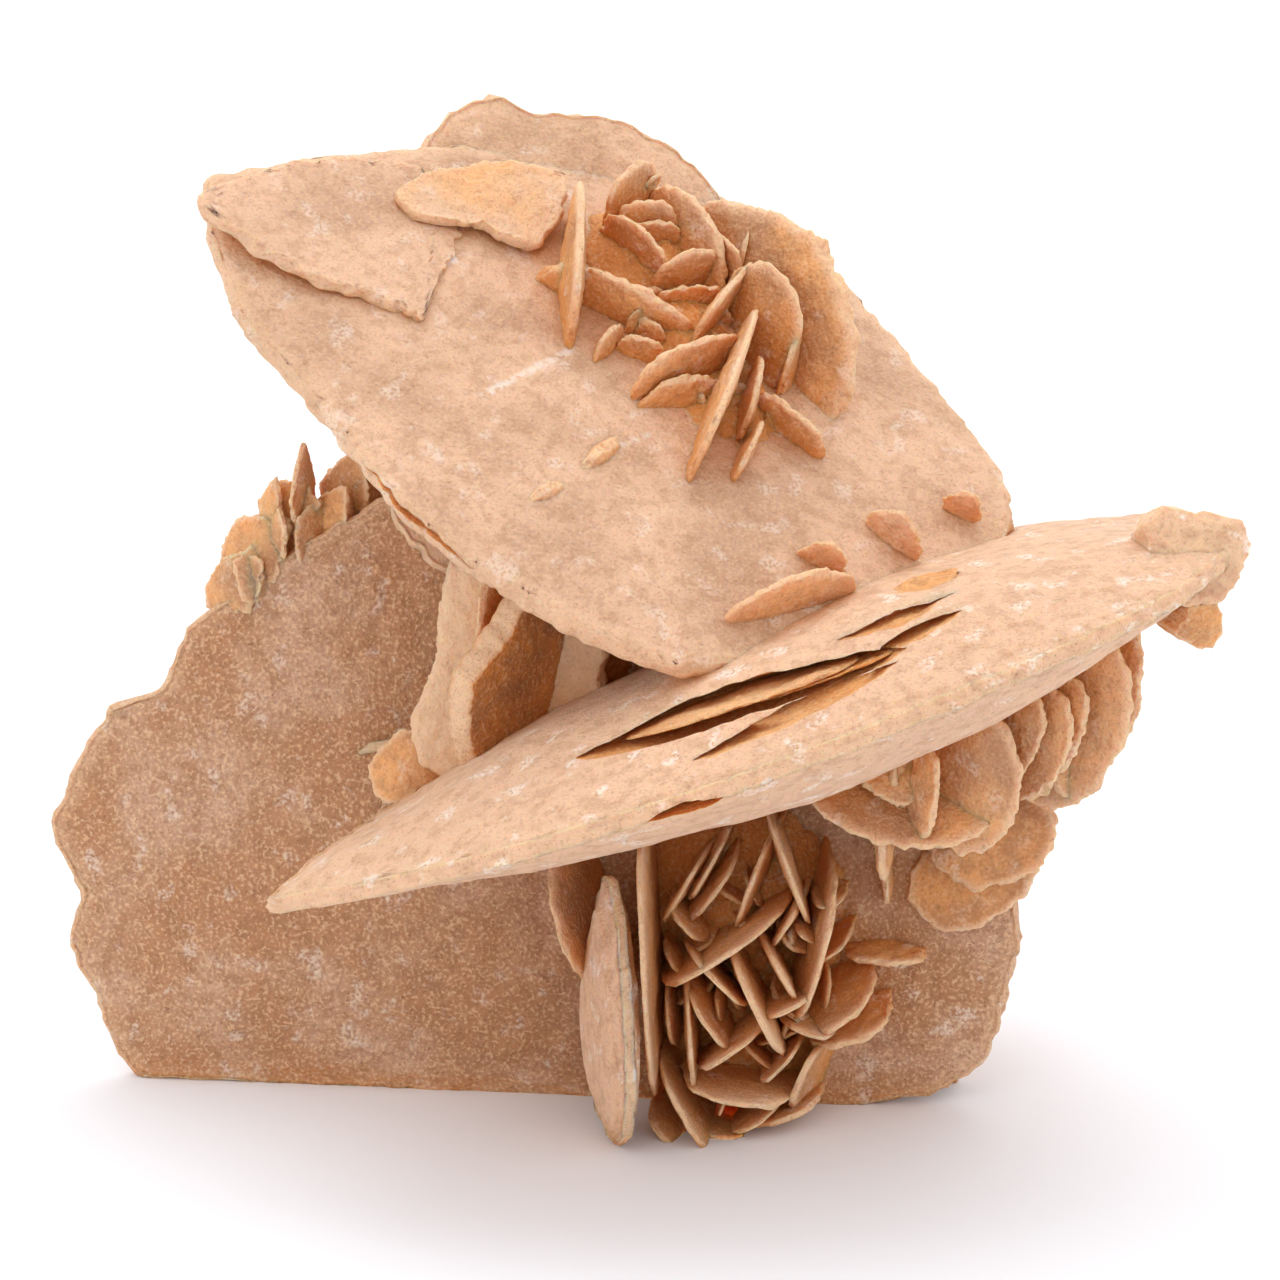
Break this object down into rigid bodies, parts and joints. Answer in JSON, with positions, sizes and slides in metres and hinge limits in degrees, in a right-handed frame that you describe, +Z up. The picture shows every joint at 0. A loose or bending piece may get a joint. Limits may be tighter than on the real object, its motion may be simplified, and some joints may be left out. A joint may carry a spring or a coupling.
{
  "type": "gypsum sand rose",
  "caption": "Natural desert rose mineral specimen: sandy gypsum blades grown through each other, with rosettes of small crystals, standing on its lower edges.",
  "frame": {"origin": "on the ground it stands on, below the middle of the outline seen from above", "axes": "+X to the right along the widest way of the specimen, +Y to the back, +Z up; the face with the two large crossing blades and the two rosettes looks to -Y"},
  "size_m": [0.0959, 0.065, 0.0798],
  "materials": {
    "sandy_gypsum": "matt tan gypsum full of fine sand, paler and slightly translucent at the thin rims, darker orange in the recesses"
  },
  "bodies": {
    "root": {"sand_rose": "sandy_gypsum"}
  },
  "joints": []
}
